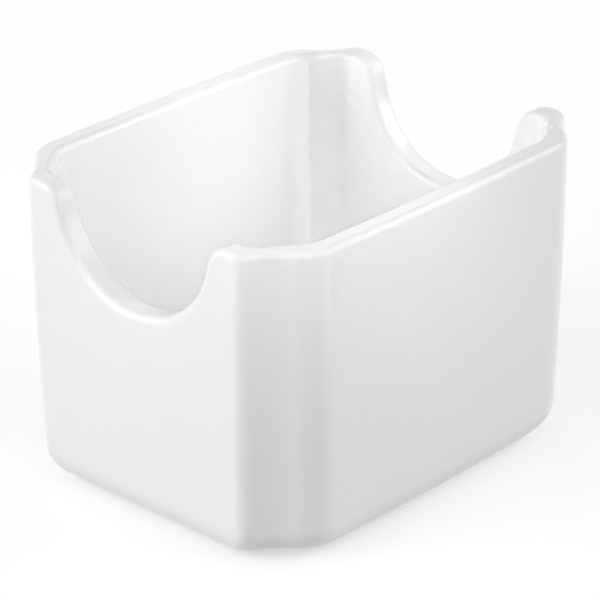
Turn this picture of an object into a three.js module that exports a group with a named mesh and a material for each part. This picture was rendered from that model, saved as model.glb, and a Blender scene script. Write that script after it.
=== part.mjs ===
// Sugar packet holder: an open white porcelain box with fluted corners and a finger scoop in each end wall.
// Millimetres, +Z up. The length runs along X, the foot stands on z = 0 and its middle is the origin.
// The casting is kept as its sections, which meet face to face where the corner curves begin.
import * as THREE from "three";

// Overall size at the rim. The side walls bow out, so the width is that of their middle.
const LENGTH = 85.7;
const WIDTH = 69.4;
const HEIGHT = 59.3;
const SIDE_BOW = 0.45;

// Walls: thickness at the rim, how far each face stands in at the bottom, and the swell at half height
const SIDE_WALL = 4.3;
const END_WALL = 4.7;
const OUTER_TAPER = 0.93;
const OUTER_SWELL = 0.28;
const WELL_TAPER = 2.4;
const RIM_ROUND = 1.4;

// Bottom: rounding under the walls, level of the floor inside, rounding round the floor, and the foot
const BASE_ROUND = 6.7;
const FLOOR_LEVEL = 5.5;
const FLOOR_ROUND = 5.0;
const FOOT_HEIGHT = 0.8;
const FOOT_WIDTH = 4.0;

// Outside corner, from the end wall to the side wall: tight edge, hollow flute, broad edge
const END_EDGE_ROUND = 3.2;
const END_EDGE_TURN = THREE.MathUtils.degToRad(63);
const FLUTE_ROUND = 14.8;
const FLUTE_TURN = THREE.MathUtils.degToRad(27.4);
const SIDE_EDGE_ROUND = 8.5;

// Inside corner, from the end wall to the side wall: tight rounding, flat, broad rounding
const WELL_END_ROUND = 3.5;
const WELL_END_TURN = THREE.MathUtils.degToRad(53);
const WELL_FLAT = 5.2;
const WELL_SIDE_ROUND = 8.0;

// Finger scoop in the top edge of each end wall: depth, shoulder rounding, steepest flank, the share of
// the flank a round scoop would have, and the level land left between the scoop and the corner
const LEFT_SCOOP_DEPTH = 18.3;
const RIGHT_SCOOP_DEPTH = 20.0;
const SCOOP_SHOULDER = 4.7;
const SCOOP_FLANK = THREE.MathUtils.degToRad(77);
const FLANK_SHARE = 0.95;
const SCOOP_LAND = 0.3;

// Steps along each curve
const EDGE_STEPS = 5;
const FLUTE_STEPS = 5;
const SHOULDER_STEPS = 4;
const SCOOP_STEPS = 6;
const BASE_STEPS = 5;
const FOOT_STEPS = 2;
const WALL_STEPS = 5;
const RIM_STEPS = 4;
const SIDE_STATIONS = [0.7, 0.35, 0, -0.35, -0.7];

const QUARTER = Math.PI / 2;
const GLAZE = { color: 0xf1f1ef, roughness: 0.16, metalness: 0 };
const BISQUE = { color: 0xe6e2d8, roughness: 0.85, metalness: 0 };

// Chain of arcs and straights from the origin, heading along +Y. A positive turn is to the left.
function chain(segments) {
  const points = [new THREE.Vector2(0, 0)];
  let heading = QUARTER;
  for (const { radius = 0, turn = 0, length = 0, steps = 1 } of segments) {
    const from = points[points.length - 1];
    if (length > 0) {
      points.push(new THREE.Vector2(length, 0).rotateAround(new THREE.Vector2(), heading).add(from));
    } else {
      const start = heading - Math.sign(turn) * QUARTER;
      const centre = from.clone().sub(new THREE.Vector2(radius * Math.cos(start), radius * Math.sin(start)));
      const arc = new THREE.EllipseCurve(centre.x, centre.y, radius, radius, start, start + turn, turn < 0);
      points.push(...arc.getPoints(steps).slice(1));
      heading += turn;
    }
  }
  return points;
}

// Corner curve moved so that the two walls it joins would meet at the origin
function corner(segments) {
  const points = chain(segments);
  const reach = points[points.length - 1].y;
  return points.map((point) => new THREE.Vector2(point.x, point.y - reach));
}

// Outside corner, and the same corner moved inwards square to itself by an offset
function outerCorner(offset) {
  return corner([
    { radius: END_EDGE_ROUND - offset, turn: END_EDGE_TURN, steps: EDGE_STEPS },
    { radius: FLUTE_ROUND + offset, turn: -FLUTE_TURN, steps: FLUTE_STEPS },
    { radius: SIDE_EDGE_ROUND - offset, turn: QUARTER + FLUTE_TURN - END_EDGE_TURN, steps: EDGE_STEPS },
  ]);
}

// Inside corner with the same number of points as the outside one
function wellCorner(offset) {
  return corner([
    { radius: WELL_END_ROUND - offset, turn: WELL_END_TURN, steps: EDGE_STEPS },
    { length: WELL_FLAT },
    { radius: WELL_SIDE_ROUND - offset, turn: QUARTER - WELL_END_TURN, steps: EDGE_STEPS + FLUTE_STEPS - 1 },
  ]);
}

// Plan outline of one face of the casting. An inset moves its walls and corners towards the middle,
// and an offset moves them inwards square to the outline.
class Shell {
  constructor(halfX, halfY, curve) {
    this.halfX = halfX;
    this.halfY = halfY;
    this.curve = curve;
  }

  cornerPoint(index, inset, offset) {
    const local = this.curve(offset).at(index);
    return new THREE.Vector2(this.halfX - inset - offset + local.x, this.halfY - inset - offset + local.y);
  }

  endFlat(inset, offset) {
    return this.cornerPoint(0, inset, offset).y;
  }

  sideFlat(inset, offset) {
    return this.cornerPoint(-1, inset, offset).x;
  }
}

const halfX = LENGTH / 2;
const halfY = WIDTH / 2 - SIDE_BOW;
const footInset = OUTER_TAPER + BASE_ROUND + FOOT_WIDTH;
const outside = new Shell(halfX, halfY, outerCorner);
const well = new Shell(halfX - END_WALL, halfY - SIDE_WALL, wellCorner);
const footInside = new Shell(halfX - footInset, halfY - footInset, wellCorner);
const scoopHalf = Math.min(outside.endFlat(0, 0), well.endFlat(0, 0)) - SCOOP_LAND;

// Half of the scoop's edge from the middle outwards: height, and slope of the edge at each point
function scoopHalfEdge(depth) {
  const slope = Math.min(SCOOP_FLANK, 2 * FLANK_SHARE * Math.atan(depth / scoopHalf));
  const roundings = (scoopHalf * Math.tan(slope) - depth) / (1 / Math.cos(slope) - 1);
  const bottom = roundings - SCOOP_SHOULDER;
  const edge = [];
  for (let i = 0; i <= SCOOP_STEPS; i += 1) {
    const lean = (slope * i) / SCOOP_STEPS;
    const rise = bottom * (1 - Math.cos(lean));
    edge.push({ y: bottom * Math.sin(lean), z: HEIGHT - depth + rise, lean });
  }
  for (let i = 0; i <= SHOULDER_STEPS; i += 1) {
    const lean = slope * (1 - i / SHOULDER_STEPS);
    const drop = SCOOP_SHOULDER * (1 - Math.cos(lean));
    edge.push({ y: scoopHalf - SCOOP_SHOULDER * Math.sin(lean), z: HEIGHT - drop, lean });
  }
  return edge;
}

// Whole edge from -Y to +Y
function scoopEdge(depth) {
  const half = scoopHalfEdge(depth);
  const mirrored = half.slice(1).map(({ y, z, lean }) => ({ y: -y, z, lean: -lean }));
  return [...mirrored.reverse(), ...half];
}

// Upright columns of the casting. Each knows its place on a shell and the edge it ends in.
function endColumn(side, edge) {
  return {
    edge,
    at(shell, inset, offset) {
      const squeeze = Math.min(1, (shell.endFlat(inset, offset) - SCOOP_LAND) / scoopHalf);
      return new THREE.Vector2(side * (shell.halfX - inset - offset), edge.y * squeeze);
    },
  };
}

function cornerColumn(sideX, sideY, index) {
  return {
    edge: { z: HEIGHT, lean: 0 },
    at(shell, inset, offset) {
      const point = shell.cornerPoint(index, inset, offset);
      return new THREE.Vector2(sideX * point.x, sideY * point.y);
    },
  };
}

function sideColumn(side, share) {
  return {
    edge: { z: HEIGHT, lean: 0 },
    at(shell, inset, offset) {
      const bow = SIDE_BOW * (1 - share * share);
      const x = share * shell.sideFlat(inset, offset);
      return new THREE.Vector2(side * x, side * (shell.halfY - inset - offset + bow));
    },
  };
}

// Columns of each section, counter-clockwise seen from above. Walls and corners take turns.
function columnGroups() {
  const rightEdge = scoopEdge(RIGHT_SCOOP_DEPTH);
  const leftEdge = scoopEdge(LEFT_SCOOP_DEPTH).reverse();
  const forward = outside.curve(0).map((_, index) => index);
  const backward = [...forward].reverse();
  return [
    ["end_wall_right", rightEdge.map((point) => endColumn(1, point))],
    ["corner_back_right", forward.map((index) => cornerColumn(1, 1, index))],
    ["side_wall_back", SIDE_STATIONS.map((share) => sideColumn(1, share))],
    ["corner_back_left", backward.map((index) => cornerColumn(-1, 1, index))],
    ["end_wall_left", leftEdge.map((point) => endColumn(-1, point))],
    ["corner_front_left", forward.map((index) => cornerColumn(-1, -1, index))],
    ["side_wall_front", SIDE_STATIONS.map((share) => sideColumn(-1, share))],
    ["corner_front_right", backward.map((index) => cornerColumn(1, -1, index))],
  ];
}

const groups = columnGroups();
const allColumns = groups.flatMap(([, group]) => group);

// A wall runs from the last column of the corner before it to the first column of the corner after it
function wallColumns(place) {
  const before = groups[(place + groups.length - 1) % groups.length][1];
  const after = groups[(place + 1) % groups.length][1];
  return [before[before.length - 1], ...groups[place][1], after[0]];
}

function outerInset(z) {
  const depth = 1 - z / HEIGHT;
  return OUTER_TAPER * depth - 4 * OUTER_SWELL * depth * (1 - depth);
}

function wellInset(z) {
  return WELL_TAPER * (1 - z / HEIGHT);
}

// Point of a column, set back from its edge square to that edge
function place(column, shell, z, inset, offset = 0, setBack = 0) {
  const plan = column.at(shell, inset, offset);
  return new THREE.Vector3(plan.x, plan.y + setBack * Math.sin(column.edge.lean), z);
}

function levelRing(columns, shell, z, inset) {
  return columns.map((column) => place(column, shell, z, inset));
}

// Ring of the rounding under the walls. The angle is 0 on the ground and a quarter turn at the wall.
function baseRing(columns, angle) {
  const z = BASE_ROUND * (1 - Math.cos(angle));
  return levelRing(columns, outside, z, outerInset(z) + BASE_ROUND * (1 - Math.sin(angle)));
}

function rimStart(column) {
  return column.edge.z - RIM_ROUND * Math.cos(column.edge.lean);
}

// Ring of the outer wall between the base rounding and the rim
function wallRing(columns, share) {
  return columns.map((column) => {
    const z = THREE.MathUtils.lerp(BASE_ROUND, rimStart(column), share);
    return place(column, outside, z, outerInset(z), 0, share * RIM_ROUND);
  });
}

// Rings of the rounded rim. The angle is 0 on the wall face and a quarter turn on top.
function rimRing(columns, angle, shell) {
  const setBack = RIM_ROUND * (1 - Math.sin(angle));
  const run = RIM_ROUND * (1 - Math.cos(angle));
  return columns.map((column) => {
    const z = column.edge.z - setBack * Math.cos(column.edge.lean);
    if (shell === outside) {
      return place(column, outside, z, outerInset(z), run, setBack);
    }
    return place(column, well, z, wellInset(z), -run, setBack);
  });
}

// Ring of the inner wall between the rim and the rounding of the floor
function wellRing(columns, share) {
  return columns.map((column) => {
    const z = THREE.MathUtils.lerp(rimStart(column), FLOOR_LEVEL + FLOOR_ROUND, share);
    return place(column, well, z, wellInset(z), 0, (1 - share) * RIM_ROUND);
  });
}

function floorRing(columns, angle) {
  const z = FLOOR_LEVEL + FLOOR_ROUND * (1 - Math.sin(angle));
  return levelRing(columns, well, z, wellInset(z) + FLOOR_ROUND * (1 - Math.cos(angle)));
}

// Outline of the floor plate at a given level, straight below the end of the floor rounding
function plateRing(columns, z) {
  return levelRing(columns, well, z, wellInset(FLOOR_LEVEL) + FLOOR_ROUND);
}

function steps(count, from, to, make) {
  return Array.from({ length: count }, (_, i) => make(from + ((to - from) * (i + 1)) / count));
}

const footAngle = Math.acos(1 - FOOT_HEIGHT / BASE_ROUND);

// Cross-section of the walls, up the outside, over the rim, down the inside and back along the underside
function wallRings(columns) {
  return [
    baseRing(columns, footAngle),
    ...steps(BASE_STEPS, footAngle, QUARTER, (angle) => baseRing(columns, angle)),
    ...steps(WALL_STEPS, 0, 1, (share) => wallRing(columns, share)),
    ...steps(RIM_STEPS, 0, QUARTER, (angle) => rimRing(columns, angle, outside)),
    rimRing(columns, QUARTER, well),
    ...steps(RIM_STEPS, QUARTER, 0, (angle) => rimRing(columns, angle, well)),
    ...steps(WALL_STEPS, 0, 1, (share) => wellRing(columns, share)),
    ...steps(BASE_STEPS, 0, QUARTER, (angle) => floorRing(columns, angle)),
    plateRing(columns, FOOT_HEIGHT),
  ];
}

function footRings(columns) {
  return [
    levelRing(columns, footInside, 0, 0),
    baseRing(columns, 0),
    ...steps(FOOT_STEPS, 0, footAngle, (angle) => baseRing(columns, angle)),
    levelRing(columns, footInside, FOOT_HEIGHT, 0),
  ];
}

function toGeometry(points, index) {
  const geometry = new THREE.BufferGeometry().setFromPoints(points);
  geometry.setIndex(index);
  return geometry;
}

// Bands between neighbouring rings, given how many bands and how many strips each band has
function bandIndex(rings, bands, strips) {
  const count = rings[0].length;
  const index = [];
  for (let i = 0; i < bands; i += 1) {
    const low = i * count;
    const high = ((i + 1) % rings.length) * count;
    for (let j = 0; j < strips; j += 1) {
      const next = (j + 1) % count;
      index.push(low + j, low + next, high + next, low + j, high + next, high + j);
    }
  }
  return index;
}

// Triangles across one cross-section, as a ladder between its outer and its inner side
function sectionFaces(count) {
  const faces = [];
  for (let outer = 0; 2 * outer + 2 < count; outer += 1) {
    const inner = count - 1 - outer;
    faces.push([outer, outer + 1, inner]);
    if (outer + 2 < inner) {
      faces.push([outer + 1, inner - 1, inner]);
    }
  }
  return faces;
}

// Body of a wall or corner: looped rings, closed by a cross-section at its first and last column
function sectionBody(columns) {
  const rings = wallRings(columns);
  const last = columns.length - 1;
  const index = bandIndex(rings, rings.length, last);
  for (const face of sectionFaces(rings.length)) {
    const [a, b, c] = face.map((ring) => ring * columns.length);
    index.push(a, b, c, a + last, c + last, b + last);
  }
  return toGeometry(rings.flat(), index);
}

// Flat plate between the walls, with a level face below and above
function floorBody() {
  const rings = [plateRing(allColumns, FOOT_HEIGHT), plateRing(allColumns, FLOOR_LEVEL)];
  const count = allColumns.length;
  const index = bandIndex(rings, 1, count);
  const below = 2 * count;
  for (let j = 0; j < count; j += 1) {
    const next = (j + 1) % count;
    index.push(below, next, j, below + 1, count + j, count + next);
  }
  const middles = [FOOT_HEIGHT, FLOOR_LEVEL].map((z) => new THREE.Vector3(0, 0, z));
  return toGeometry([...rings.flat(), ...middles], index);
}

function footBody() {
  const rings = footRings(allColumns);
  return toGeometry(rings.flat(), bandIndex(rings, rings.length, allColumns.length));
}

function node(name, geometry, finish) {
  geometry.computeVertexNormals();
  const mesh = new THREE.Mesh(geometry, new THREE.MeshStandardMaterial(finish));
  mesh.name = name;
  return mesh;
}

const holder = new THREE.Group();
holder.name = "sugar_packet_holder";
holder.add(node("foot_ring", footBody(), BISQUE));
holder.add(node("floor", floorBody(), GLAZE));
groups.forEach(([name, group], place) => {
  const columns = name.startsWith("corner") ? group : wallColumns(place);
  holder.add(node(name, sectionBody(columns), GLAZE));
});

export default holder;
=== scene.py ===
"""Sugar packet holder: a white glazed porcelain casting on a bare foot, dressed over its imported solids."""

import logging
import math
from abc import ABC, abstractmethod
from dataclasses import asdict, dataclass, field
from enum import Enum

import bpy
import numpy as np
from mathutils import Matrix, Vector


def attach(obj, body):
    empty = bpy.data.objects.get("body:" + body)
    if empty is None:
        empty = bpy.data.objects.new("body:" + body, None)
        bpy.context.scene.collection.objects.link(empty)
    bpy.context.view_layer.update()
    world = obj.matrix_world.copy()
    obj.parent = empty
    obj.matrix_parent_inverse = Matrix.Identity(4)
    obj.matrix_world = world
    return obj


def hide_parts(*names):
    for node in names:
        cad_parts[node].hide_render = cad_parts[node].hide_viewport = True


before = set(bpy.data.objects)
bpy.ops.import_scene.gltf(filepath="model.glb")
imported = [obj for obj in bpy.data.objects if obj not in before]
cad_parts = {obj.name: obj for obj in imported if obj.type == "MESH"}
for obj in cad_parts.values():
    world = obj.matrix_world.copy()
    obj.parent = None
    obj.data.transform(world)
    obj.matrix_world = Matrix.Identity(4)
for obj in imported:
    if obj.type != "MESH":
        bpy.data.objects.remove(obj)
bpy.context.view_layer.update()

LOG = logging.getLogger("sugar_packet_holder")
MM = 0.001
BODY = "root"
PHOTO_PIXELS = 600
SENSOR_MM = 36.0
QUARTER = math.pi / 2
UNIT = (0.0, 1.0)
WHITE = (1.0, 1.0, 1.0, 1.0)


class Shell(Enum):
    """The plan outlines that the rings of the casting follow."""

    OUTSIDE = "outside"
    WELL = "well"
    FOOT = "foot"


class Stretch(Enum):
    """The kinds of wall that follow each other round the casting."""

    END = 0
    CORNER = 1
    SIDE = 2


@dataclass(frozen=True)
class Bend:
    """One stretch of a corner curve in millimetres and degrees: an arc, or a straight where the turn is 0."""

    size: float
    turn: float = 0.0
    steps: int = 14


@dataclass(frozen=True)
class Curve:
    """Corner curve seen from above, from the end wall to the side wall, with its outward normals."""

    points: np.ndarray
    normals: np.ndarray

    @classmethod
    def from_bends(cls, bends: list[Bend]) -> "Curve":
        """Joins arcs and straights into a curve whose two walls would meet at the origin.

        On an arc the position is its start plus the signed radius times the change of the normal, and the
        normal at a heading h is (sin h, -cos h). On a straight the position runs along the heading.

        Args:
            bends: Stretches in order, starting along +Y.

        Returns:
            The curve with its points and normals in millimetres.
        """
        heading = QUARTER
        points = [np.zeros((1, 2))]
        normals = [_normal(np.array([heading]))]
        for bend in bends:
            share = arc(0.0, 1.0, bend.steps)
            turn = math.radians(bend.turn)
            along = _normal(heading + turn * share)
            if turn:
                path = math.copysign(bend.size, turn) * (along - _normal(np.array([heading])))
            else:
                path = bend.size * share[:, None] * np.array([math.cos(heading), math.sin(heading)])
            points.append(points[-1][-1] + path)
            normals.append(along)
            heading += turn
        joined = np.concatenate(points)
        joined[:, 1] -= joined[-1, 1]
        return cls(joined, np.concatenate(normals))


def _normal(heading: np.ndarray) -> np.ndarray:
    """Returns the unit vectors to the right of the given headings, in radians."""
    return np.stack([np.sin(heading), -np.cos(heading)], axis=-1)


def arc(start: float, end: float, steps: int) -> np.ndarray:
    """Returns evenly spaced parameters after start, up to and with end."""
    return np.linspace(start, end, steps + 1)[1:]


@dataclass
class Columns:
    """Upright columns of the casting, counter-clockwise from above, as arrays with one value each."""

    stretch: np.ndarray
    side_x: np.ndarray
    side_y: np.ndarray
    place: np.ndarray
    edge_y: np.ndarray
    edge_z: np.ndarray
    lean: np.ndarray


@dataclass
class Casting:
    """Sizes of the casting in millimetres, and the rings of points that follow its faces."""

    length: float = 85.7
    width: float = 69.4
    height: float = 59.3
    side_bow: float = 0.45
    side_wall: float = 4.3
    end_wall: float = 4.7
    outer_taper: float = 0.93
    outer_swell: float = 0.28
    well_taper: float = 2.4
    rim_round: float = 1.4
    base_round: float = 6.7
    floor_level: float = 5.5
    floor_round: float = 5.0
    foot_height: float = 0.8
    foot_width: float = 4.0
    left_scoop_depth: float = 18.3
    right_scoop_depth: float = 20.0
    scoop_shoulder: float = 4.7
    scoop_flank: float = math.radians(77.0)
    flank_share: float = 0.95
    scoop_land: float = 0.3
    scoop_steps: int = 24
    flank_steps: int = 4
    shoulder_steps: int = 12
    side_steps: int = 18
    outer_bends: list[Bend] = field(default_factory=lambda: [Bend(3.2, 63.0), Bend(14.8, -27.4), Bend(8.5, 54.4)])
    well_bends: list[Bend] = field(default_factory=lambda: [Bend(3.5, 53.0), Bend(5.2), Bend(8.0, 37.0)])

    def __post_init__(self) -> None:
        """Works out the plan outlines and the columns from the sizes."""
        half_x = self.length / 2
        half_y = self.width / 2 - self.side_bow
        foot_inset = self.outer_taper + self.base_round + self.foot_width
        well_curve = Curve.from_bends(self.well_bends)
        self.half = {
            Shell.OUTSIDE: (half_x, half_y),
            Shell.WELL: (half_x - self.end_wall, half_y - self.side_wall),
            Shell.FOOT: (half_x - foot_inset, half_y - foot_inset),
        }
        self.curve = {
            Shell.OUTSIDE: Curve.from_bends(self.outer_bends),
            Shell.WELL: well_curve,
            Shell.FOOT: well_curve,
        }
        flats = [float(self.end_flat(shell, 0.0)) for shell in (Shell.OUTSIDE, Shell.WELL)]
        self.scoop_half = min(flats) - self.scoop_land
        self.foot_angle = math.acos(1 - self.foot_height / self.base_round)
        self.columns = self._columns()

    def end_flat(self, shell: Shell, inset: float | np.ndarray) -> float | np.ndarray:
        """Returns half the flat width of an end wall on a shell at the given inset."""
        return self.half[shell][1] - inset + self.curve[shell].points[0, 1]

    def _scoop_edge(self, depth: float) -> np.ndarray:
        """Top edge of an end wall across its scoop, from -Y to +Y.

        Half the edge is a bottom arc up to the flank's slope, a straight flank, and a shoulder arc back to
        level. The bottom radius follows from the depth: the two arcs and the flank together climb it.

        Args:
            depth: Depth of the scoop below the rim.

        Returns:
            Rows of y, z and the slope angle of the edge.
        """
        slope = min(self.scoop_flank, 2 * self.flank_share * math.atan(depth / self.scoop_half))
        radii = (self.scoop_half * math.tan(slope) - depth) / (1 / math.cos(slope) - 1)
        bottom = radii - self.scoop_shoulder
        rising = np.linspace(0.0, slope, self.scoop_steps + 1)
        easing = np.linspace(slope, 0.0, self.shoulder_steps + 1)
        low = np.stack([bottom * np.sin(rising), self.height - depth + bottom * (1 - np.cos(rising)), rising], axis=-1)
        shoulder_y = self.scoop_half - self.scoop_shoulder * np.sin(easing)
        shoulder_z = self.height - self.scoop_shoulder * (1 - np.cos(easing))
        high = np.stack([shoulder_y, shoulder_z, easing], axis=-1)
        share = np.linspace(0.0, 1.0, self.flank_steps + 1)[1:-1, None]
        flank = low[-1] * (1 - share) + high[0] * share
        half = np.concatenate([low, flank, high])
        return np.concatenate([half[:0:-1] * np.array([-1, 1, -1]), half])

    def _columns(self) -> Columns:
        """Lines up the columns of the eight stretches, walls and corners in turn, from the right end wall."""
        corner = np.arange(len(self.curve[Shell.OUTSIDE].points), dtype=float)
        share = np.linspace(1.0, -1.0, self.side_steps + 1)[1:-1]
        right = self._scoop_edge(self.right_scoop_depth)
        left = self._scoop_edge(self.left_scoop_depth)[::-1]
        stretches = [
            self._stretch(Stretch.END, 1, 1, edge=right),
            self._stretch(Stretch.CORNER, 1, 1, corner),
            self._stretch(Stretch.SIDE, 1, 1, share),
            self._stretch(Stretch.CORNER, -1, 1, corner[::-1]),
            self._stretch(Stretch.END, -1, 1, edge=left),
            self._stretch(Stretch.CORNER, -1, -1, corner),
            self._stretch(Stretch.SIDE, 1, -1, -share),
            self._stretch(Stretch.CORNER, 1, -1, corner[::-1]),
        ]
        return Columns(*np.concatenate(stretches, axis=1))

    def _stretch(
        self, kind: Stretch, side_x: int, side_y: int, place: np.ndarray | None = None, edge: np.ndarray | None = None
    ) -> np.ndarray:
        """Rows of column values for one stretch.

        Args:
            kind: Which kind of wall the stretch is.
            side_x: Sign of X on the stretch.
            side_y: Sign of Y on the stretch.
            place: Index on the corner curve, or share of the side wall's half length.
            edge: Rows of y, z and slope of the top edge, where it isn't level.

        Returns:
            One row per field of Columns.
        """
        count = len(edge) if place is None else len(place)
        level = np.stack([np.zeros(count), np.full(count, self.height), np.zeros(count)], axis=-1)
        edge_y, edge_z, lean = (level if edge is None else edge).T
        along = np.zeros(count) if place is None else place
        same = np.ones(count)
        return np.stack([kind.value * same, side_x * same, side_y * same, along, edge_y, edge_z, lean])

    def plan(self, shell: Shell, inset: np.ndarray | float, offset: float = 0.0) -> np.ndarray:
        """Places every column on a shell, seen from above.

        The inset moves walls and corners towards the middle, and the offset moves them along their normals.
        Side walls bow out by a parabola, and end walls keep clear of the corners by narrowing their columns.

        Args:
            shell: Outline that the columns stand on.
            inset: Inset of each column.
            offset: Inward offset of the outline.

        Returns:
            One x, y row per column.
        """
        col = self.columns
        half_x, half_y = self.half[shell]
        curve = self.curve[shell]
        index = np.where(col.stretch == Stretch.CORNER.value, col.place, 0).astype(int)
        bend = curve.points[index] - offset * curve.normals[index]
        squeeze = np.minimum(1.0, (self.end_flat(shell, inset) - self.scoop_land) / self.scoop_half)
        bow = self.side_bow * (1 - col.place**2)
        kinds = [col.stretch == kind.value for kind in Stretch]
        x = np.select(kinds, [
            col.side_x * (half_x - inset - offset),
            col.side_x * (half_x - inset + bend[:, 0]),
            col.place * (half_x - inset + curve.points[-1, 0]),
        ])
        y = np.select(kinds, [
            col.edge_y * squeeze,
            col.side_y * (half_y - inset + bend[:, 1]),
            col.side_y * (half_y - inset - offset + bow),
        ])
        return np.stack([x, y], axis=-1)

    def ring(
        self, shell: Shell, z: np.ndarray | float, inset: np.ndarray | float, offset: float = 0.0, set_back: float = 0.0
    ) -> np.ndarray:
        """Puts every column of a shell at a height.

        Args:
            shell: Outline that the columns stand on.
            z: Height of each column.
            inset: Inset of each column.
            offset: Inward offset of the outline.
            set_back: Distance from the top edge, which moves a column sideways under a sloping edge.

        Returns:
            One x, y, z row per column, in millimetres.
        """
        place = self.plan(shell, inset, offset)
        place[:, 1] += set_back * np.sin(self.columns.lean)
        return np.column_stack([place, np.broadcast_to(z, len(place))])

    def outer_inset(self, z: np.ndarray | float) -> np.ndarray | float:
        """Returns the inset of the outer face: a straight taper with a parabolic swell."""
        depth = 1 - z / self.height
        return self.outer_taper * depth - 4 * self.outer_swell * depth * (1 - depth)

    def well_inset(self, z: np.ndarray | float) -> np.ndarray | float:
        """Returns the inset of the inner face, a straight taper."""
        return self.well_taper * (1 - z / self.height)

    def base_ring(self, angle: float, drawn_in: float = 0.0) -> np.ndarray:
        """Ring of the quarter round under the walls.

        Args:
            angle: Turn along the rounding, from 0 on the ground to a quarter turn.
            drawn_in: Further inset of the ring.

        Returns:
            One x, y, z row per column, in millimetres.
        """
        z = self.base_round * (1 - math.cos(angle))
        inset = self.outer_inset(z) + self.base_round * (1 - math.sin(angle)) + drawn_in
        return self.ring(Shell.OUTSIDE, z, inset)

    def rim_start(self) -> np.ndarray:
        """Returns the height of each column where the rim's roundings begin."""
        return self.columns.edge_z - self.rim_round * np.cos(self.columns.lean)

    def wall_ring(self, share: float) -> np.ndarray:
        """Returns a ring of the outer face, from 0 above the base to 1 below the rim."""
        z = self.base_round + (self.rim_start() - self.base_round) * share
        return self.ring(Shell.OUTSIDE, z, self.outer_inset(z), 0.0, share * self.rim_round)

    def rim_ring(self, angle: float, shell: Shell) -> np.ndarray:
        """Returns a ring of the rim's quarter rounds, from 0 on a wall face to a quarter turn on top."""
        set_back = self.rim_round * (1 - math.sin(angle))
        run = self.rim_round * (1 - math.cos(angle))
        z = self.columns.edge_z - set_back * np.cos(self.columns.lean)
        if shell is Shell.OUTSIDE:
            return self.ring(shell, z, self.outer_inset(z), run, set_back)
        return self.ring(shell, z, self.well_inset(z), -run, set_back)

    def well_ring(self, share: float) -> np.ndarray:
        """Returns a ring of the inner face, from 0 below the rim to 1 above the floor."""
        start = self.rim_start()
        z = start + (self.floor_level + self.floor_round - start) * share
        return self.ring(Shell.WELL, z, self.well_inset(z), 0.0, (1 - share) * self.rim_round)

    def floor_ring(self, angle: float) -> np.ndarray:
        """Returns a ring of the quarter round between the inner face and the floor."""
        z = self.floor_level + self.floor_round * (1 - math.sin(angle))
        return self.ring(Shell.WELL, z, self.well_inset(z) + self.floor_round * (1 - math.cos(angle)))

    @staticmethod
    def scaled(ring: np.ndarray, share: float) -> np.ndarray:
        """Returns a level ring drawn in towards the middle axis."""
        return ring * np.array([share, share, 1.0])


@dataclass(frozen=True)
class Surface:
    """Closed grid of rings and columns, with a mask value per ring and column."""

    rings: np.ndarray
    mask: np.ndarray
    poles: bool

    def mesh(self, name: str, attribute: str) -> bpy.types.Mesh:
        """Makes a smooth mesh of quads between neighbouring rings.

        Columns close on themselves. Where the surface has poles, the first and last ring are filled by fans
        round their middles, and otherwise the last ring joins the first.

        Args:
            name: Name of the mesh.
            attribute: Name of the point attribute that takes the mask.

        Returns:
            The mesh in metres.
        """
        count, columns = self.mask.shape
        index = np.arange(count * columns).reshape(count, columns)
        lower = index[:-1] if self.poles else index
        upper = index[1:] if self.poles else np.roll(index, -1, axis=0)
        quads = np.stack([lower, np.roll(lower, -1, 1), np.roll(upper, -1, 1), upper], axis=-1).reshape(-1, 4)
        points = self.rings.reshape(-1, 3)
        values = self.mask.ravel()
        fans = np.empty((0, 3), int)
        if self.poles:
            low, high = len(points), len(points) + 1
            middles = np.array([[0.0, 0.0, self.rings[0, 0, 2]], [0.0, 0.0, self.rings[-1, 0, 2]]])
            points = np.concatenate([points, middles])
            values = np.concatenate([values, [self.mask[0].mean(), self.mask[-1].mean()]])
            under = np.stack([np.full(columns, low), np.roll(index[0], -1), index[0]], axis=-1)
            over = np.stack([np.full(columns, high), index[-1], np.roll(index[-1], -1)], axis=-1)
            fans = np.concatenate([under, over])
        mesh = bpy.data.meshes.new(name)
        mesh.from_pydata((points * MM).tolist(), [], quads.tolist() + fans.tolist())
        mesh.polygons.foreach_set("use_smooth", np.ones(len(mesh.polygons), bool))
        layer = mesh.attributes.new(attribute, "FLOAT", "POINT")
        layer.data.foreach_set("value", values.astype(np.float32))
        mesh.update()
        return mesh


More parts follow.
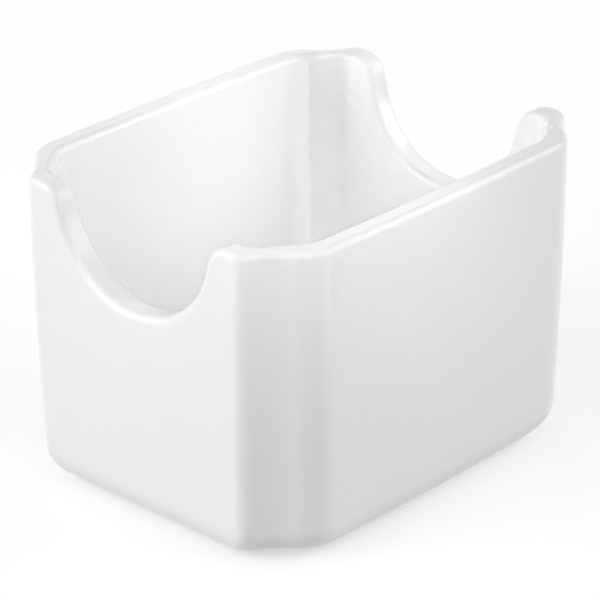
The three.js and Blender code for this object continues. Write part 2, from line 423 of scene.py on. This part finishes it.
class Nodes:
    """Small helper that adds shader nodes to a tree and links them."""

    # Sockets of a colour mix go by number, because their titles repeat
    MIX_AMOUNT, MIX_BASE, MIX_COLOUR, MIX_RESULT = 0, 6, 7, 2

    def __init__(self, tree: bpy.types.NodeTree) -> None:
        """Keeps the tree that the nodes go into."""
        self.tree = tree

    def add(self, kind: str, **settings: object) -> bpy.types.Node:
        """Adds a node.

        Args:
            kind: Blender's type name of the node.
            **settings: Properties of the node, or default values of inputs whose name matches.

        Returns:
            The new node.
        """
        node = self.tree.nodes.new(kind)
        for name, value in settings.items():
            title = name.replace("_", " ").title()
            if hasattr(node, name):
                setattr(node, name, value)
            else:
                node.inputs[title].default_value = value
        return node

    def link(self, source: bpy.types.NodeSocket, target: bpy.types.NodeSocket) -> None:
        """Joins an output to an input."""
        self.tree.links.new(source, target)

    def span(
        self, value: bpy.types.NodeSocket, source: tuple[float, float], target: tuple[float, float]
    ) -> bpy.types.NodeSocket:
        """Returns a value carried from one range to another and held inside it."""
        (low, high), (to_low, to_high) = source, target
        node = self.add("ShaderNodeMapRange", from_min=low, from_max=high, to_min=to_low, to_max=to_high)
        self.link(value, node.inputs["Value"])
        return node.outputs["Result"]

    def tint(
        self, amount: bpy.types.NodeSocket, base: bpy.types.NodeSocket | tuple[float, ...], colour: tuple[float, ...]
    ) -> bpy.types.NodeSocket:
        """Returns a base colour mixed towards another one by an amount."""
        node = self.add("ShaderNodeMix", data_type="RGBA")
        if isinstance(base, tuple):
            node.inputs[self.MIX_BASE].default_value = base
        else:
            self.link(base, node.inputs[self.MIX_BASE])
        node.inputs[self.MIX_COLOUR].default_value = colour
        self.link(amount, node.inputs[self.MIX_AMOUNT])
        return node.outputs[self.MIX_RESULT]

    def group(
        self, tree: bpy.types.NodeTree, coords: bpy.types.NodeSocket, values: dict[str, float]
    ) -> bpy.types.Node:
        """Puts a node group into the tree.

        Args:
            tree: Group to place.
            coords: Coordinates that it reads.
            values: Values of its inputs, by name in lower case.

        Returns:
            The group node.
        """
        node = self.add("ShaderNodeGroup", node_tree=tree)
        self.link(coords, node.inputs["Coords"])
        for title, value in values.items():
            node.inputs[title.title()].default_value = value
        return node


def new_material(name: str) -> tuple[bpy.types.Material, Nodes, bpy.types.Node]:
    """Makes a material with a principled shader.

    Args:
        name: Name of the material.

    Returns:
        The material, a helper for its nodes, and its shader.
    """
    material = bpy.data.materials.new(name)
    material.use_nodes = True
    return material, Nodes(material.node_tree), material.node_tree.nodes["Principled BSDF"]


class FiredEffects:
    """Node groups of what the kiln leaves on glaze and bare porcelain alike, built once."""

    def __init__(self) -> None:
        """Builds both groups."""
        self.specks = self._specks()
        self.grain = self._grain()

    @staticmethod
    def _group(name: str, inputs: list[str], outputs: list[str]) -> tuple[bpy.types.NodeTree, Nodes]:
        """Makes an empty group.

        Args:
            name: Name of the group.
            inputs: Value inputs, after the coordinates.
            outputs: Value outputs.

        Returns:
            The group and a helper for its nodes.
        """
        tree = bpy.data.node_groups.new(name, "ShaderNodeTree")
        tree.interface.new_socket("Coords", in_out="INPUT", socket_type="NodeSocketVector")
        for way, titles in (("INPUT", inputs), ("OUTPUT", outputs)):
            for title in titles:
                tree.interface.new_socket(title, in_out=way, socket_type="NodeSocketFloat")
        return tree, Nodes(tree)

    def _specks(self) -> bpy.types.NodeTree:
        """Builds the group of sparse specks: the cores of a few cells, picked by each cell's own value."""
        tree, nodes = self._group("fired_specks", ["Scale", "Radius", "Rarity"], ["Mask"])
        source = nodes.add("NodeGroupInput")
        cells = nodes.add("ShaderNodeTexVoronoi", feature="F1")
        core = nodes.add("ShaderNodeMath", operation="LESS_THAN")
        pick = nodes.add("ShaderNodeSeparateColor")
        rare = nodes.add("ShaderNodeMath", operation="GREATER_THAN")
        both = nodes.add("ShaderNodeMath", operation="MULTIPLY")
        target = nodes.add("NodeGroupOutput")
        nodes.link(source.outputs["Coords"], cells.inputs["Vector"])
        nodes.link(source.outputs["Scale"], cells.inputs["Scale"])
        nodes.link(cells.outputs["Distance"], core.inputs[0])
        nodes.link(source.outputs["Radius"], core.inputs[1])
        nodes.link(cells.outputs["Color"], pick.inputs["Color"])
        nodes.link(pick.outputs["Red"], rare.inputs[0])
        nodes.link(source.outputs["Rarity"], rare.inputs[1])
        nodes.link(core.outputs[0], both.inputs[0])
        nodes.link(rare.outputs[0], both.inputs[1])
        nodes.link(both.outputs[0], target.inputs["Mask"])
        return tree

    def _grain(self) -> bpy.types.NodeTree:
        """Builds the group of surface grain: a broad wave, a fine grain, and their weighted sum as height."""
        tree, nodes = self._group("fired_grain", ["Broad", "Fine", "Share"], ["Wave", "Height"])
        source = nodes.add("NodeGroupInput")
        broad = nodes.add("ShaderNodeTexNoise", detail=1.0)
        fine = nodes.add("ShaderNodeTexNoise", detail=2.0)
        weigh = nodes.add("ShaderNodeMath", operation="MULTIPLY_ADD")
        target = nodes.add("NodeGroupOutput")
        nodes.link(source.outputs["Coords"], broad.inputs["Vector"])
        nodes.link(source.outputs["Broad"], broad.inputs["Scale"])
        nodes.link(source.outputs["Coords"], fine.inputs["Vector"])
        nodes.link(source.outputs["Fine"], fine.inputs["Scale"])
        nodes.link(fine.outputs["Fac"], weigh.inputs[0])
        nodes.link(source.outputs["Share"], weigh.inputs[1])
        nodes.link(broad.outputs["Fac"], weigh.inputs[2])
        nodes.link(broad.outputs["Fac"], target.inputs["Wave"])
        nodes.link(weigh.outputs[0], target.inputs["Height"])
        return tree


@dataclass(frozen=True)
class Grain:
    """Values of the grain group: scales of the broad wave and the fine grain, and the fine grain's weight."""

    broad: float
    fine: float
    share: float


@dataclass(frozen=True)
class Specks:
    """Values of the speck group: scale of the cells, radius of a core, and how few of the cells have one."""

    scale: float
    radius: float
    rarity: float


@dataclass(frozen=True)
class Finish(ABC):
    """Fired surface with grain and specks, of which each kind mixes its own colour and roughness."""

    name: str
    attribute: str
    speck: tuple[float, ...]
    grain: Grain
    specks: Specks
    wave: tuple[float, float]
    roughness: tuple[float, float]
    relief: float
    ior: float = 1.5
    bump_strength: float = 1.0

    @abstractmethod
    def mix(
        self, nodes: Nodes, wave: bpy.types.NodeSocket, mask: bpy.types.NodeSocket
    ) -> tuple[bpy.types.NodeSocket, bpy.types.NodeSocket]:
        """Mixes the colour below the specks, and the roughness.

        Args:
            nodes: Helper of the material's tree.
            wave: Broad wave of the grain.
            mask: Mask that the mesh carries for the finish.

        Returns:
            The colour and the roughness.
        """

    def material(self, effects: FiredEffects) -> bpy.types.Material:
        """Builds the material: the mixed colour with specks, the roughness, and the grain as height.

        Args:
            effects: Shared groups of specks and grain.

        Returns:
            The material.
        """
        material, nodes, shader = new_material(self.name)
        coords = nodes.add("ShaderNodeTexCoord").outputs["Object"]
        mask = nodes.add("ShaderNodeAttribute", attribute_name=self.attribute).outputs["Fac"]
        grain = nodes.group(effects.grain, coords, asdict(self.grain))
        specks = nodes.group(effects.specks, coords, asdict(self.specks))
        colour, roughness = self.mix(nodes, grain.outputs["Wave"], mask)
        bump = nodes.add("ShaderNodeBump", distance=self.relief, strength=self.bump_strength)
        nodes.link(nodes.tint(specks.outputs["Mask"], colour, self.speck), shader.inputs["Base Color"])
        nodes.link(roughness, shader.inputs["Roughness"])
        shader.inputs["IOR"].default_value = self.ior
        nodes.link(grain.outputs["Height"], bump.inputs["Height"])
        nodes.link(bump.outputs["Normal"], shader.inputs["Normal"])
        return material


@dataclass(frozen=True)
class GlazeFinish(Finish):
    """Clear glossy glaze over white porcelain, with broad waves, a rim greyed partly by thin glaze and partly by
    painted shade, and fine orange peel.
    """

    name: str = "white_glaze"
    attribute: str = "thin_glaze_and_rim_shade"
    speck: tuple[float, ...] = (0.80, 0.79, 0.77, 1.0)
    grain: Grain = Grain(38.0, 700.0, 0.05)
    specks: Specks = Specks(210.0, 0.04, 0.988)
    wave: tuple[float, float] = (0.3, 0.7)
    roughness: tuple[float, float] = (0.10, 0.16)
    relief: float = 0.00006
    white: tuple[float, ...] = (0.94, 0.94, 0.935, 1.0)
    pooled: tuple[float, ...] = (0.928, 0.932, 0.932, 1.0)
    # The edge grey darkens the rim's top: partly thin glaze, partly painted shade that greys the rim band.
    edge: tuple[float, ...] = (0.855, 0.85, 0.84, 1.0)

    def mix(
        self, nodes: Nodes, wave: bpy.types.NodeSocket, mask: bpy.types.NodeSocket
    ) -> tuple[bpy.types.NodeSocket, bpy.types.NodeSocket]:
        """Returns white with pooled glaze by the wave, a darker grey by the mask that is partly thin glaze and partly
        painted shade on the rim, and a waving roughness.
        """
        colour = nodes.tint(nodes.span(wave, self.wave, UNIT), self.white, self.pooled)
        return nodes.tint(mask, colour, self.edge), nodes.span(wave, self.wave, self.roughness)


@dataclass(frozen=True)
class BareFinish(Finish):
    """Dry, gritty porcelain of the foot, ground flat and rubbed grey where it stands."""

    name: str = "bare_porcelain"
    attribute: str = "foot_rub"
    speck: tuple[float, ...] = (0.30, 0.25, 0.20, 1.0)
    grain: Grain = Grain(160.0, 2400.0, 0.8)
    specks: Specks = Specks(500.0, 0.12, 0.93)
    wave: tuple[float, float] = (0.42, 0.62)
    roughness: tuple[float, float] = (0.85, 0.6)
    relief: float = 0.00005
    body: tuple[float, ...] = (0.70, 0.67, 0.61, 1.0)
    rubbed: tuple[float, ...] = (0.52, 0.50, 0.47, 1.0)

    def mix(
        self, nodes: Nodes, wave: bpy.types.NodeSocket, mask: bpy.types.NodeSocket
    ) -> tuple[bpy.types.NodeSocket, bpy.types.NodeSocket]:
        """Returns the body with rubbed patches, where wave and mask meet, and their smoother roughness."""
        patches = nodes.add("ShaderNodeMath", operation="MULTIPLY")
        nodes.link(nodes.span(wave, self.wave, UNIT), patches.inputs[0])
        nodes.link(mask, patches.inputs[1])
        rub = patches.outputs[0]
        return nodes.tint(rub, self.body, self.rubbed), nodes.span(rub, UNIT, self.roughness)


@dataclass
class Piece(ABC):
    """Part of the dressed holder that stands for solids of the frame."""

    casting: Casting
    title: str
    nodes: tuple[str, ...]

    @abstractmethod
    def surface(self) -> Surface:
        """Returns the closed surface of the piece, with the mask that its finish reads."""

    def build(self, finish: Finish, effects: FiredEffects) -> bpy.types.Object:
        """Makes the piece, dresses it and puts it on the frame.

        Args:
            finish: Finish that covers it.
            effects: Shared groups of the finish.

        Returns:
            The piece.
        """
        mesh = self.surface().mesh(self.title, finish.attribute)
        return mount(mesh, finish.material(effects), self.nodes)


@dataclass
class GlazedBody(Piece):
    """Glazed skin of the whole casting above its foot, as one closed surface."""

    title: str = "glazed_body"
    nodes: tuple[str, ...] = (
        "floor", "side_wall_front", "side_wall_back", "end_wall_left", "end_wall_right",
        "corner_front_left", "corner_front_right", "corner_back_left", "corner_back_right",
    )
    base_steps: int = 12
    wall_steps: int = 14
    rim_steps: int = 9
    floor_steps: int = 12
    level_shares: tuple[float, ...] = (0.94, 0.8, 0.6, 0.4, 0.2)

    def surface(self) -> Surface:
        """Carries the cross-section of the casting round its columns.

        The section runs from the middle of the underside out over the foot, up the outer face, over the
        rim, down the inner face and in to the middle of the floor.

        Returns:
            The surface, with a mask that rises to 1 on top of the rim: partly thin glaze there, partly painted shade
            that greys the rim.
        """
        cast = self.casting
        under = cast.ring(Shell.FOOT, cast.foot_height, 0.0)
        floor = cast.floor_ring(QUARTER)
        inner = [cast.scaled(under, share) for share in self.level_shares[::-1]]
        outer = [cast.base_ring(angle) for angle in arc(cast.foot_angle, QUARTER, self.base_steps)]
        wall = [cast.wall_ring(share) for share in arc(0.0, 1.0, self.wall_steps)]
        rise = [cast.rim_ring(angle, Shell.OUTSIDE) for angle in arc(0.0, QUARTER, self.rim_steps)]
        fall = [cast.rim_ring(angle, Shell.WELL) for angle in np.linspace(QUARTER, 0.0, self.rim_steps + 1)]
        well = [cast.well_ring(share) for share in arc(0.0, 1.0, self.wall_steps)]
        fillet = [cast.floor_ring(angle) for angle in arc(0.0, QUARTER, self.floor_steps)]
        plate = [cast.scaled(floor, share) for share in self.level_shares]
        before = [*inner, under, cast.base_ring(cast.foot_angle), *outer, *wall]
        rim = [*rise, *fall]
        rings = np.stack([*before, *rim, *well, *fillet, *plate])
        # Rim mask, highest on the rim's top: partly thin glaze, partly painted shade that greys the rim.
        thin_glaze_and_shade_ease = np.sin(np.linspace(0.0, math.pi, len(rim)))
        mask = np.zeros(rings.shape[:2])
        mask[len(before):len(before) + len(rim)] = thin_glaze_and_shade_ease[:, None]
        return Surface(rings, mask, poles=True)


@dataclass
class BareFoot(Piece):
    """Dry ring that the casting stands on, ground flat below."""

    title: str = "bare_foot"
    nodes: tuple[str, ...] = ("foot_ring",)
    glaze_step: float = 0.12
    edge_round: float = 0.3
    edge_steps: int = 5

    def surface(self) -> Surface:
        """Carries the section of the foot round its columns.

        The section is the standing face, the start of the base rounding drawn in by the glaze's thickness,
        the hidden top, and the inner face with a quarter round at its lower edge.

        Returns:
            The surface, with a mask of 1 on the standing face.
        """
        cast = self.casting
        turns = arc(0.0, QUARTER, self.edge_steps)
        inner = [
            cast.ring(Shell.FOOT, self.edge_round * (1 - math.sin(turn)), self.edge_round * -(1 - math.cos(turn)))
            for turn in turns
        ]
        angles = np.linspace(0.0, cast.foot_angle, self.edge_steps)
        outer = [cast.base_ring(angle, self.glaze_step) for angle in angles]
        top = cast.ring(Shell.FOOT, cast.foot_height, 0.0)
        side = cast.ring(Shell.FOOT, self.edge_round, 0.0)
        rings = np.stack([*inner, *outer, top, side])
        mask = np.zeros(rings.shape[:2])
        mask[len(inner) - 1:len(inner) + 1] = 1.0
        return Surface(rings, mask, poles=False)


def mount(mesh: bpy.types.Mesh, material: bpy.types.Material, nodes: tuple[str, ...]) -> bpy.types.Object:
    """Makes a piece of a mesh and lets it stand for solids of the frame.

    Args:
        mesh: Mesh in the frame's own place.
        material: Finish of the whole piece.
        nodes: Solids that the piece stands for.

    Returns:
        The piece.
    """
    piece = bpy.data.objects.new(mesh.name, mesh)
    bpy.context.scene.collection.objects.link(piece)
    mesh.materials.append(material)
    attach(piece, BODY)
    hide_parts(*nodes)
    return piece


@dataclass(frozen=True)
class SoftBox:
    """Area lamp that faces a point above the middle of the table, in metres, watts and degrees."""

    name: str
    place: tuple[float, float, float]
    size: tuple[float, float]
    power: float
    aim: tuple[float, float, float] = (0.0, 0.0, 0.03)
    spread: float = 180.0

    def light(self) -> bpy.types.Object:
        """Hangs the lamp.

        Returns:
            The lamp object.
        """
        data = bpy.data.lights.new(self.name, "AREA")
        data.shape = "RECTANGLE"
        data.size, data.size_y = self.size
        data.energy = self.power
        data.spread = math.radians(self.spread)
        lamp = bpy.data.objects.new(self.name, data)
        lamp.location = self.place
        lamp.rotation_mode = "QUATERNION"
        lamp.rotation_quaternion = (Vector(self.aim) - Vector(self.place)).to_track_quat("-Z", "Y")
        bpy.context.scene.collection.objects.link(lamp)
        return lamp


@dataclass(frozen=True)
class Studio:
    """White table top, soft lamps and a pale surround."""

    floor_half: float = 2.5
    floor_drop: float = 0.0001
    floor_white: tuple[float, ...] = (0.6, 0.6, 0.6, 1.0)
    floor_roughness: float = 0.9
    floor_lift: float = 0.52
    backdrop: float = 1.0
    surround: float = 0.4
    lamps: tuple[SoftBox, ...] = (
        SoftBox("left_softbox", (-0.96, 0.80, 0.60), (1.25, 0.95), 7.1),
        SoftBox("left_front_softbox", (-1.20, 0.23, 0.60), (1.00, 0.85), 4.8),
        SoftBox("right_softbox", (0.92, -0.93, 0.60), (1.35, 1.00), 10.2),
        SoftBox("well_wall_softbox", (-0.14, -0.56, 0.56), (0.065, 0.065), 0.0026, (-0.012, 0.024, 0.034), 4.0),
        SoftBox("well_end_softbox", (-0.42, -0.31, 0.62), (0.06, 0.06), 0.0026, (0.006, 0.006, 0.046), 4.0),
        SoftBox("well_corner_softbox", (-0.42, -0.40, 0.58), (0.05, 0.05), 0.0013, (0.020, 0.018, 0.047), 2.5),
    )

    def build(self) -> None:
        """Lays the table top, hangs the lamps and sets the surround."""
        self._floor()
        for lamp in self.lamps:
            lamp.light()
        self._world()

    def _floor(self) -> None:
        """Lays a level square a hair below the foot, its white lifted for the eye so that only the shadow shows."""
        corner = np.array([[-1.0, -1.0], [1.0, -1.0], [1.0, 1.0], [-1.0, 1.0]]) * self.floor_half
        mesh = bpy.data.meshes.new("table_top")
        mesh.from_pydata(np.column_stack([corner, np.full(4, -self.floor_drop)]).tolist(), [], [(0, 1, 2, 3)])
        material, nodes, shader = new_material("table_white")
        shader.inputs["Base Color"].default_value = self.floor_white
        shader.inputs["Roughness"].default_value = self.floor_roughness
        shader.inputs["Specular IOR Level"].default_value = 0.0
        shader.inputs["Emission Color"].default_value = WHITE
        nodes.link(self._seen(nodes, self.floor_lift), shader.inputs["Emission Strength"])
        mesh.materials.append(material)
        floor = bpy.data.objects.new("table_top", mesh)
        bpy.context.scene.collection.objects.link(floor)

    @staticmethod
    def _seen(nodes: Nodes, strength: float) -> bpy.types.NodeSocket:
        """Returns a strength for rays from the eye and from reflections, and 0 for light that scatters."""
        path = nodes.add("ShaderNodeLightPath")
        either = nodes.add("ShaderNodeMath", operation="MAXIMUM")
        any_ray = nodes.add("ShaderNodeMath", operation="MAXIMUM")
        scale = nodes.add("ShaderNodeMath", operation="MULTIPLY")
        nodes.link(path.outputs["Is Camera Ray"], either.inputs[0])
        nodes.link(path.outputs["Is Glossy Ray"], either.inputs[1])
        nodes.link(either.outputs[0], any_ray.inputs[0])
        nodes.link(path.outputs["Is Transmission Ray"], any_ray.inputs[1])
        nodes.link(any_ray.outputs[0], scale.inputs[0])
        scale.inputs[1].default_value = strength
        return scale.outputs[0]

    def _world(self) -> None:
        """Surrounds the scene with white for the eye and reflections, and with a softer light for the rest."""
        world = bpy.data.worlds.new("studio_surround")
        world.use_nodes = True
        nodes = Nodes(world.node_tree)
        background = world.node_tree.nodes["Background"]
        background.inputs["Color"].default_value = WHITE
        brighter = nodes.add("ShaderNodeMath", operation="MAXIMUM")
        nodes.link(self._seen(nodes, self.backdrop), brighter.inputs[0])
        brighter.inputs[1].default_value = self.surround
        nodes.link(brighter.outputs[0], background.inputs["Strength"])
        bpy.context.scene.world = world
        bpy.context.scene.view_settings.view_transform = "Standard"


@dataclass(frozen=True)
class PhotoCamera:
    """Camera at the photograph's viewing angle: degrees, millimetres, and pixels of its square frame."""

    azimuth: float = -47.2666
    elevation: float = 25.1492
    roll: float = -0.3747
    distance: float = 562.1353
    aim_height: float = 29.0
    focal_pixels: float = 3119.0978
    right_pixels: float = 3.4418
    down_pixels: float = -2.2825
    clip: tuple[float, float] = (0.01, 20.0)

    def build(self) -> bpy.types.Object:
        """Sets up the camera and makes it the scene's own.

        Returns:
            The camera object.
        """
        azimuth, elevation = math.radians(self.azimuth), math.radians(self.elevation)
        flat = Vector((math.sin(azimuth), -math.cos(azimuth), 0.0))
        back = flat * math.cos(elevation) + Vector((0.0, 0.0, math.sin(elevation)))
        right = Vector((math.cos(azimuth), math.sin(azimuth), 0.0))
        turn = Matrix((right, back.cross(right), back)).transposed() @ Matrix.Rotation(math.radians(self.roll), 3, "Z")
        data = bpy.data.cameras.new("photo_camera")
        data.sensor_width = SENSOR_MM
        data.lens = self.focal_pixels / PHOTO_PIXELS * SENSOR_MM
        data.shift_x = -self.right_pixels / PHOTO_PIXELS
        data.shift_y = self.down_pixels / PHOTO_PIXELS
        data.clip_start, data.clip_end = self.clip
        camera = bpy.data.objects.new("photo_camera", data)
        eye = (Vector((0.0, 0.0, self.aim_height)) + back * self.distance) * MM
        camera.matrix_world = Matrix.Translation(eye) @ turn.to_4x4()
        bpy.context.scene.collection.objects.link(camera)
        bpy.context.scene.camera = camera
        return camera


def main() -> None:
    """Builds the camera, the studio and the two pieces of the holder in order."""
    logging.basicConfig(level=logging.INFO)
    PhotoCamera().build()
    Studio().build()
    casting = Casting()
    effects = FiredEffects()
    for maker, finish in ((GlazedBody(casting), GlazeFinish()), (BareFoot(casting), BareFinish())):
        piece = maker.build(finish, effects)
        LOG.info("%s: %d faces", piece.name, len(piece.data.polygons))


if __name__ == "__main__":
    main()
